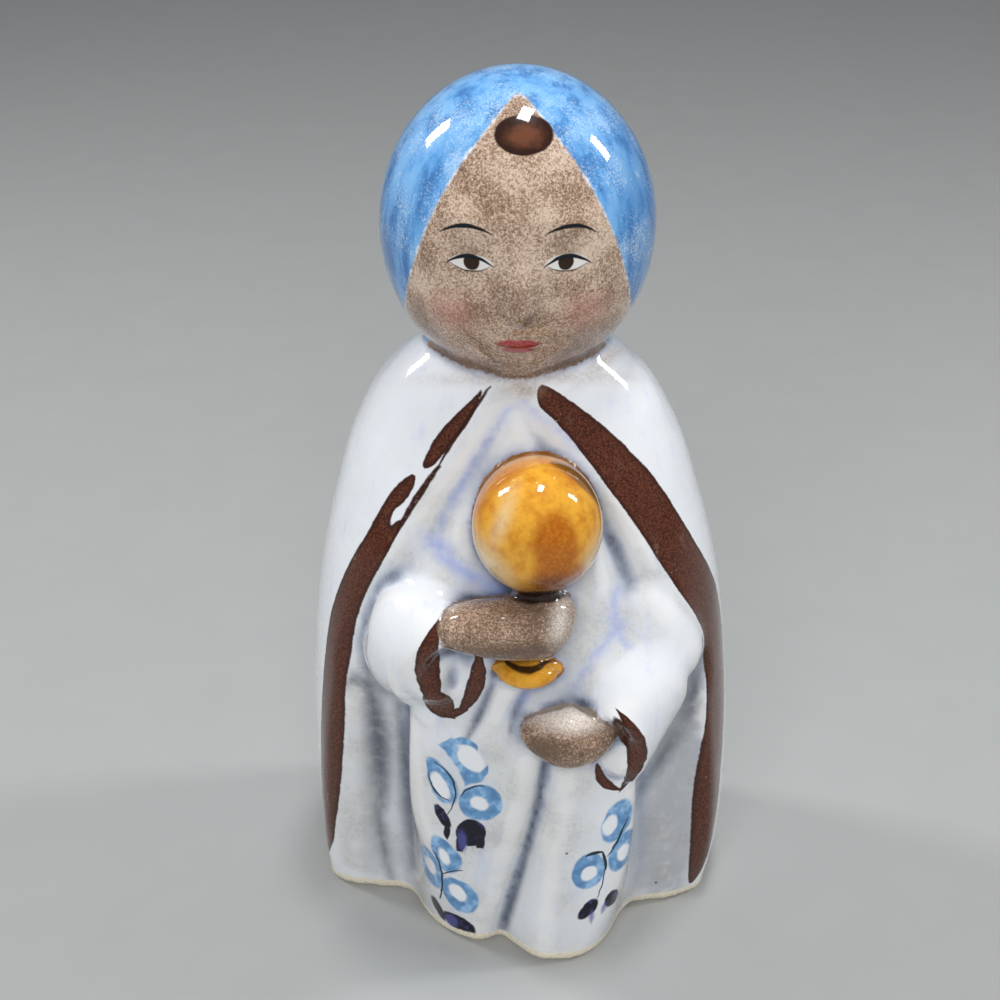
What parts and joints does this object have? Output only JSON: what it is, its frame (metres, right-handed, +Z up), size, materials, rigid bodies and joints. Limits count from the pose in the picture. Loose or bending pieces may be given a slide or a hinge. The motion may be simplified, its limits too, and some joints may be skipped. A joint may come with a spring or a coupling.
{
  "type": "pottery nativity figure",
  "caption": "Glazed pottery nativity figure: a standing figure in a blue head-cloth and white mantle, holding a round golden cup.",
  "frame": {"origin": "centre of the figure's box, on the surface that its underside stands on", "axes": "+Z up from the underside to the top of the head, -Y the way the figure faces, +X to the viewer's right"},
  "size_m": [0.0796, 0.0684, 0.16],
  "materials": {
    "painted_glaze": "glossy white glaze over hand-painted blue, brown and golden decoration, bare clay under the foot"
  },
  "bodies": {
    "root": {"figure": "painted_glaze"}
  },
  "joints": []
}
